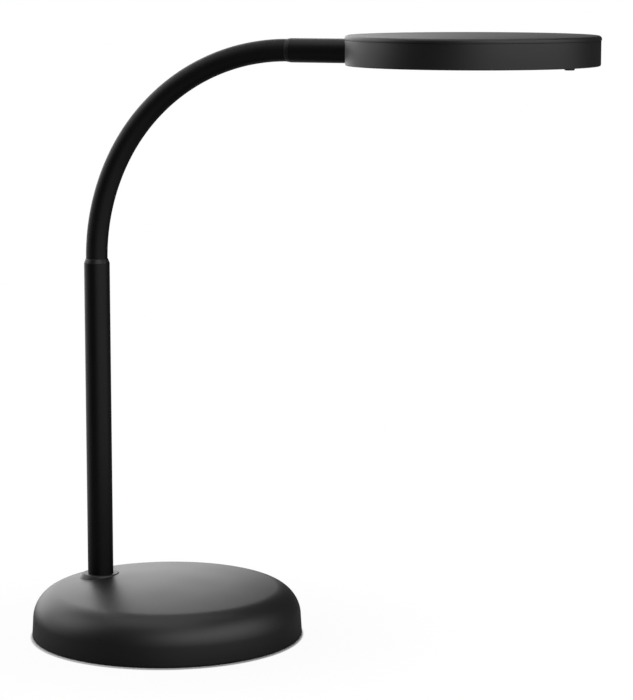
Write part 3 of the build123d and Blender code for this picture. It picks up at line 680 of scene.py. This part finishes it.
inlet_bore = 2.9 * MM
flange_radius = 5.5 * MM
barrel_radius = 4.0 * MM
tail_radius = 3.0 * MM
pin_radius = 1.05 * MM
bore_end = 9.5 * MM
barrel_end = 13.9 * MM
tail_end = high("dc_jack").x - inlet_face
inlet_foot = (inlet_face, 0, inlet_height)
body_outline = [
    (inlet_bore, 0, 0.3 * MM),
    (flange_radius, 0, 0.35 * MM),
    (flange_radius, inlet_flange),
    (barrel_radius, inlet_flange),
    (barrel_radius, barrel_end),
    (tail_radius, barrel_end),
    (tail_radius, tail_end),
    (0, tail_end),
    (0, bore_end),
    (inlet_bore, bore_end),
]
inlet_body = spun("inlet_body", body_outline, foot=inlet_foot, axis=(1, 0, 0), steps=64)
finish(inlet_body, "base", glossy_nylon(), "inlet_plastic", "dc_jack")
pin_outline = [(0, MM), (pin_radius, MM, 0.4 * MM), (pin_radius, bore_end), (0, bore_end)]
inlet_pin = spun(
    "inlet_pin", pin_outline, foot=inlet_foot, axis=(1, 0, 0), closed=False, steps=48
)
finish(inlet_pin, "base", nickel(), "zinc_steel")

# %% [markdown]
# ## Post, collars and stub
#
# Straight tubes and tapered collars. The tubes are drawn steel, cut and deburred, with a baked
# powder coat. A collar is turned from bar: its tail is pushed into the tube and its tip closes
# round the neck, so a short cone leads from one width to the other. The cone shows bright from
# its satin coat and from a painted highlight, its colour painted lighter than the tubes'. All of
# them are round, so each is its section spun round its own axis.

# %% Post, collars and stub
collar_bore = 5.5 * MM
collar_tip = neck_radius + 0.2 * MM
collar_tail = 20.0 * MM
post_wall = 1.2 * MM
stub_wall = 1.0 * MM
fine_edge = 0.15 * MM

post_outline = [
    (post_radius - post_wall, post_foot, fine_edge),
    (post_radius, post_foot, fine_edge),
    (post_radius, post_top, fine_edge),
    (post_radius - post_wall, post_top, fine_edge),
]
post = spun("post", post_outline, foot=(post_x, 0, 0))
finish(post, "base", powder_black, "satin_black_metal", "post_tube")


def collar(name, tube_radius, tip, tube_end, inner, foot, axis):
    """Tapered collar from the neck's end (tip) to the tube's end, with its tail in the tube."""
    way = 1 if tube_end > tip else -1
    outline = [
        (collar_bore, tip, fine_edge),
        (collar_tip, tip, 0.3 * MM),
        (tube_radius, tube_end, fine_edge),
        (inner, tube_end),
        (inner, tube_end + way * collar_tail),
        (collar_bore, tube_end + way * collar_tail),
    ]
    return spun(name, outline, foot=foot, axis=axis)


slip = 0.05 * MM
post_inner = post_radius - post_wall - slip
stub_inner = stub_radius - stub_wall - slip
arm_foot = (0, 0, arm_height)
# The collars wear the coat painted lighter, a painted highlight on their cones.
lower_collar = collar(
    "lower_collar", post_radius, neck_start, post_top, post_inner, (post_x, 0, 0), (0, 0, 1)
)
finish(lower_collar, "base", collar_coat_painted_highlight, "satin_black_metal", "neck_collar_lower")
upper_collar = collar(
    "upper_collar", stub_radius, neck_end, stub_start, stub_inner, arm_foot, (1, 0, 0)
)
finish(upper_collar, "head", collar_coat_painted_highlight, "satin_black_metal", "neck_collar_upper")

stub_outline = [
    (stub_radius - stub_wall, stub_start, fine_edge),
    (stub_radius, stub_start, fine_edge),
    (stub_radius, high("stub_tube").x + MM),
    (stub_radius - stub_wall, high("stub_tube").x + MM),
]
stub = spun("stub", stub_outline, foot=arm_foot, axis=(1, 0, 0))
below_head, above_head = (head_x, 0, head_bottom - MM), (head_x, 0, head_top + MM)
hollow = rod(head_radius + slip, below_head, above_head, 256)
combine(stub, "DIFFERENCE", hollow)
finish(stub, "head", powder_black, "satin_black_metal", "stub_tube")

# %% [markdown]
# ## Neck
#
# Under the sleeve the neck is a row of short links, and each joint lets it bend a little. The
# sleeve is one smooth tube. Here it is made in lengths that meet in the middle of a link, each
# crossing one joint; the lengths are not tied to the joints' bodies. A length is a circle
# spun round the centre of the neck's arc, first the lower arc and then the upper one.

# %% Neck
lower_arc_radius = 137.3 * MM
lower_turn = radians(28.5)
joint_count = 12
lower_length = lower_arc_radius * lower_turn
lower_centre = Vector((post_x + lower_arc_radius, 0, neck_start))
bend_point = lower_centre + lower_arc_radius * Vector((-cos(lower_turn), 0, sin(lower_turn)))
upper_arc_radius = (arm_height - bend_point.z) / (1 - sin(lower_turn))
upper_centre = bend_point + upper_arc_radius * Vector((cos(lower_turn), 0, -sin(lower_turn)))
neck_length = lower_length + upper_arc_radius * (pi / 2 - lower_turn)
pitch = neck_length / joint_count
print("neck length", neck_length, "ends at", upper_centre.x, "and the collar at", neck_end)


def neck_turn(s):
    """How far the neck has turned from upright, s along it."""
    if s <= lower_length:
        return s / lower_arc_radius
    return lower_turn + (s - lower_length) / upper_arc_radius


def neck_point(s):
    turn = neck_turn(s)
    centre, radius = upper_centre, upper_arc_radius
    if s <= lower_length:
        centre, radius = lower_centre, lower_arc_radius
    return centre + radius * Vector((-cos(turn), 0, sin(turn)))


def along_neck(name, start, end, half_width, half_height, wall, points=64):
    """A length of the neck from start to end along its line: a tube with a wall, or solid."""
    bpy.ops.object.select_all(action="DESELECT")
    bpy.ops.mesh.primitive_circle_add(
        vertices=points, radius=1, fill_type="NOTHING" if wall else "NGON",
        location=neck_point(start), rotation=(0, neck_turn(start), 0),
    )
    bpy.ops.object.mode_set(mode="EDIT")
    bpy.ops.transform.resize(value=(half_height, half_width, 1), orient_type="LOCAL")
    arcs = ((0, lower_length, lower_centre), (lower_length, neck_length, upper_centre))
    for first, last, centre in arcs:
        a, b = max(start, first), min(end, last)
        if b > a:
            steps = max(1, round((b - a) / (1.5 * MM)))
            turn = neck_turn(b) - neck_turn(a)
            bpy.ops.mesh.spin(steps=steps, angle=turn, center=centre, axis=(0, -1, 0))
    bpy.ops.mesh.select_all(action="SELECT")
    bpy.ops.mesh.normals_make_consistent(inside=False)
    bpy.ops.object.mode_set(mode="OBJECT")
    piece = settle(name)
    if wall:
        solidify = piece.modifiers.new("wall", "SOLIDIFY")
        solidify.thickness = wall
        solidify.offset = -1
        solidify.use_rim = True
        bpy.ops.object.modifier_apply(modifier=solidify.name)
        bpy.ops.object.shade_smooth_by_angle(angle=radians(30))
    return piece


def bends(piece):
    """Sets the piece's place into its mesh; the piece is not tied to the joint's bodies."""
    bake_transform(piece)


overlap = 0.05 * MM
for k in range(joint_count):
    start, end = max(0, k * pitch - overlap), min(neck_length, (k + 1) * pitch + overlap)
    sleeve = along_neck(f"sleeve_{k + 1:02d}", start, end, neck_radius, neck_radius, 1.5 * MM)
    bends(sleeve)
    covered = [f"neck_link_{k:02d}"] if k else ["neck_end_lower"]
    finish(sleeve, None, sleeve_pvc, "neck_sheath", *covered)

core_bore = 4.5 * MM
core_radius = 5.4 * MM
core_length = 18 * MM
core_outline = [
    (core_bore, 0),
    (core_radius, 0),
    (core_radius, core_length),
    (core_bore, core_length),
]
core_lower = spun("neck_root", core_outline, foot=(post_x, 0, neck_start - core_length), steps=48)
finish(core_lower, "base", powder_black, "neck_sheath")
tip_foot = (neck_end, 0, arm_height)
core_upper = spun("neck_tip", core_outline, foot=tip_foot, axis=(1, 0, 0), steps=48)
finish(core_upper, "head", powder_black, "neck_sheath", "neck_end_upper")

# %% [markdown]
# ## Lead
#
# Inside, a flat two-core lead runs from the inlet up through post and neck to the head. Nobody sees
# it on the finished lamp, but it is there, so it is made: a straight length in the post, lengths
# that follow the neck's arc, and a straight end in the head.

# %% Lead
lead_half_width = high("lead").y
lead_half_height = 1.0 * MM
lead_rear = low("lead").x
lead_tip = high("lead").x
lead_turn = 9 * MM


def lead_jacket(name="black_pvc_jacket"):
    material, tree, shader, place = new_material(name)
    shader.inputs["IOR"].default_value = 1.53
    fine = grain(tree, place, 0.5 * MM)
    tree.links.new(mixed(tree, fine, "121212", "1a1a1a"), shader.inputs["Base Color"])
    tree.links.new(between(tree, fine, 0.4, 0.55), shader.inputs["Roughness"])
    return material


def flat_section(location, turn):
    """The lead's flat section, square to its way there: a squashed circle in edit mode."""
    bpy.ops.object.select_all(action="DESELECT")
    bpy.ops.mesh.primitive_circle_add(
        vertices=24, radius=1, fill_type="NGON", location=location, rotation=(0, turn, 0)
    )
    bpy.ops.object.mode_set(mode="EDIT")
    bpy.ops.transform.resize(value=(lead_half_height, lead_half_width, 1), orient_type="LOCAL")


def push(by):
    bpy.ops.mesh.extrude_region_move(TRANSFORM_OT_translate={"value": by})


def close(name):
    bpy.ops.mesh.select_all(action="SELECT")
    bpy.ops.mesh.normals_make_consistent(inside=False)
    bpy.ops.object.mode_set(mode="OBJECT")
    return settle(name)


black_jacket = lead_jacket()
flat_section((lead_rear, 0, inlet_height), pi / 2)
push((post_x - lead_turn - lead_rear, 0, 0))
bpy.ops.mesh.spin(
    steps=12, angle=pi / 2, center=(post_x - lead_turn, 0, inlet_height + lead_turn), axis=(0, 1, 0)
)
push((0, 0, neck_start - inlet_height - lead_turn))
finish(close("lead_in_post"), "base", black_jacket, "lead_jacket", "lead")

for k in range(joint_count):
    name = f"lead_in_neck_{k + 1:02d}"
    core = along_neck(name, k * pitch, (k + 1) * pitch, lead_half_width, lead_half_height, 0, 24)
    bends(core)
    finish(core, None, black_jacket, "lead_jacket")

flat_section((neck_end, 0, arm_height), pi / 2)
push((lead_tip - neck_end, 0, 0))
finish(close("lead_in_head"), "head", black_jacket, "lead_jacket")

# %% [markdown]
# ## Head
#
# Two shells make the flat head. The cover is a shallow cap with a soft upper edge; its rim closes
# over the housing, a third of a millimetre proud of it, which draws the fine line round the head.
# The housing is open below for the light and carries the button.

# %% Head shells
housing_top = high("head_housing").z
lip_bottom = housing_top + 0.08 * MM
ceiling = head_top - 2.0 * MM
floor_top = head_bottom + 2.0 * MM
wall = 2.2 * MM
skirt = housing_radius - wall - 0.05 * MM
board_top = high("led_board").z
upstand = high("diffuser").x - head_x + 0.2 * MM
light_radius = upstand - 2.7 * MM
socket_radius = 6.45 * MM
tenon_end = high("stub_spigot").x
button_x = (low("dimmer_button").x + high("dimmer_button").x) / 2
button_collar = high("dimmer_button").y
button_radius = button_collar - 1.3 * MM

cover_outline = [
    (0, head_top),
    (head_radius, head_top, 2.0 * MM),
    (head_radius, lip_bottom, 0.1 * MM),
    (skirt, lip_bottom),
    (skirt, ceiling - 3 * MM),
    (skirt - 1.2 * MM, ceiling - 3 * MM),
    (skirt - 1.2 * MM, ceiling),
    (0, ceiling),
]
cover = spun("head_cap", cover_outline, foot=(head_x, 0, 0), closed=False, steps=256)
pillar_reach = 38 * MM
pillar_radius = 3 * MM
pillars = []
for angle in (radians(60), radians(180), radians(300)):
    x, y = head_x + pillar_reach * cos(angle), pillar_reach * sin(angle)
    pillars.append(rod(pillar_radius, (x, y, board_top), (x, y, ceiling + MM), 32))
combine(cover, "UNION", *pillars)
socket_gap = 0.4 * MM
opening_start = (head_x - skirt + 0.01 * MM, 0, arm_height)
opening_end = (tenon_end + 2 * MM, 0, arm_height)
combine(cover, "DIFFERENCE", rod(socket_radius + socket_gap, opening_start, opening_end))
finish(cover, "head", black_abs, "satin_black_plastic", "head_cover")

housing_outline = [
    (light_radius, head_bottom, 0.4 * MM),
    (housing_radius, head_bottom, 0.9 * MM),
    (housing_radius, housing_top, 0.1 * MM),
    (housing_radius - wall, housing_top),
    (housing_radius - wall, floor_top),
    (upstand + 1.2 * MM, floor_top),
    (upstand + 1.2 * MM, floor_top + 7.6 * MM),
    (upstand, floor_top + 7.6 * MM),
    (upstand, floor_top),
    (light_radius, floor_top),
]
housing = spun("head_shell", housing_outline, foot=(head_x, 0, 0), steps=256)
wall_x = head_x - housing_radius
socket_bore = 5.05 * MM
button_hole = button_radius + 0.25 * MM
switch_post_reach = 8.5 * MM
switch_post_radius = 2.2 * MM
switch_post_bore = 1.15 * MM
switch_top = high("tact_switch").z
adds = [rod(socket_radius, (wall_x + 1.1 * MM, 0, arm_height), (tenon_end, 0, arm_height))]
cuts = [rod(socket_bore, (wall_x - MM, 0, arm_height), (tenon_end + MM, 0, arm_height))]
cuts.append(rod(button_hole, (button_x, 0, head_bottom - MM), (button_x, 0, floor_top + MM), 48))
for y in (-switch_post_reach, switch_post_reach):
    post_start = (button_x, y, floor_top - MM)
    adds.append(rod(switch_post_radius, post_start, (button_x, y, switch_top), 32))
    bore_start = (button_x, y, floor_top + 2 * MM)
    cuts.append(rod(switch_post_bore, bore_start, (button_x, y, head_top), 24))
combine(housing, "UNION", *adds)
combine(housing, "DIFFERENCE", *cuts)
finish(housing, "head", black_abs, "satin_black_plastic", "head_housing")

# %% [markdown]
# ## Light opening and button
#
# An opal disc closes the light opening: white pigmented polycarbonate, a little glossy, that lets
# the light through and hides the diodes. The dimmer button next to it is a small turned-looking
# moulding with a soft edge.

# %% Diffuser and button
def opal(name="opal_polycarbonate"):
    material, tree, shader, place = new_material(name)
    shader.inputs["IOR"].default_value = 1.58
    shader.inputs["Subsurface Weight"].default_value = 0.4
    shader.inputs["Subsurface Radius"].default_value = (2 * MM, 2 * MM, 2 * MM)
    fine = grain(tree, place, 0.6 * MM)
    tree.links.new(mixed(tree, fine, "f0f0ea", "f5f5f0"), shader.inputs["Base Color"])
    tree.links.new(between(tree, fine, 0.32, 0.38), shader.inputs["Roughness"])
    return material


disc_radius = high("diffuser").x - head_x
disc_low, disc_high = low("diffuser").z, high("diffuser").z
disc_edge = 0.3 * MM
disc_outline = [
    (0, disc_low),
    (disc_radius, disc_low, disc_edge),
    (disc_radius, disc_high, disc_edge),
    (0, disc_high),
]
lens = spun("diffuser_disc", disc_outline, foot=(head_x, 0, 0), closed=False)
finish(lens, "head", opal(), "opal_plastic", "diffuser")

button_low = low("dimmer_button").z
button_high = high("dimmer_button").z
button_seat = floor_top + 0.2 * MM
button_outline = [
    (0, button_low),
    (button_radius - 0.3 * MM, button_low, 0.4 * MM),
    (button_radius, button_low + 0.6 * MM, 0.4 * MM),
    (button_radius, button_seat),
    (button_collar, button_seat),
    (button_collar, button_seat + 0.9 * MM),
    (2.2 * MM, button_seat + 0.9 * MM),
    (2.2 * MM, button_high),
    (0, button_high),
]
button = spun("button", button_outline, foot=(button_x, 0, 0), closed=False, steps=64)
finish(button, "button", black_abs, "satin_black_plastic", "dimmer_button")

# %% [markdown]
# ## Inside pieces
#
# These CAD nodes keep their own meshes and only get their real finishes.

# %% Finishes of the inside pieces
def cast_iron(name="raw_cast_iron"):
    material, tree, shader, place = new_material(name)
    sand = grain(tree, place, 1.2 * MM, detail=4.0, roughness=0.65)
    broad = grain(tree, place, 14 * MM)
    shader.inputs["Metallic"].default_value = 0.6
    tree.links.new(mixed(tree, broad, "2e2d2c", "41403d"), shader.inputs["Base Color"])
    tree.links.new(between(tree, sand, 0.6, 0.8), shader.inputs["Roughness"])
    bumped(tree, shader, sand, 0.12 * MM, 0.8)
    return material


def plain_moulding(name, colour_a, colour_b, roughness, metallic=0.0, size=0.6 * MM):
    """A small part's finish: a fine mottle of two near colours and of roughness."""
    material, tree, shader, place = new_material(name)
    shader.inputs["Metallic"].default_value = metallic
    fine = grain(tree, place, size)
    tree.links.new(mixed(tree, fine, colour_a, colour_b), shader.inputs["Base Color"])
    varied = between(tree, fine, roughness - 0.05, roughness + 0.05)
    tree.links.new(varied, shader.inputs["Roughness"])
    return material


finishes = {
    "raw_cast_iron": (cast_iron(), ["base_weight"]),
    "zinc_plated_steel": (zinc_steel, ["post_washer", "post_nut", "head_screws", "spigot_screw"]),
    "turned_aluminium": (
        plain_moulding("turned_aluminium", "b9babb", "c6c7c8", 0.35, 1.0),
        ["post_plug", "stub_spigot"],
    ),
    "nickel": (nickel("nickel_plated_nut"), ["jack_nut"]),
    "white_polycarbonate": (
        plain_moulding("white_polycarbonate", "e9e9e4", "f2f2ee", 0.4),
        ["reflector_ring", "lead_connector"],
    ),
    "board_aluminium": (
        plain_moulding("white_lacquered_board", "e4e6e4", "eceeec", 0.35),
        ["led_board"],
    ),
    "led": (plain_moulding("yellow_phosphor", "d9b640", "e6c65a", 0.3), ["led_packages"]),
    "board": (
        plain_moulding("green_solder_mask", "1d5a35", "24683f", 0.3, size=2 * MM),
        ["driver_board", "switch_board"],
    ),
    "switch": (
        plain_moulding("black_switch_housing", "161616", "1e1e1e", 0.4),
        ["tact_switch", "switch_plunger"],
    ),
    "wires": (lead_jacket("grey_ribbon_jacket"), ["led_wires", "switch_wires"]),
}
for material, names in finishes.values():
    for name in names:
        nodes[name].data.materials.clear()
        nodes[name].data.materials.append(material)
        print(name, "is", material.name)
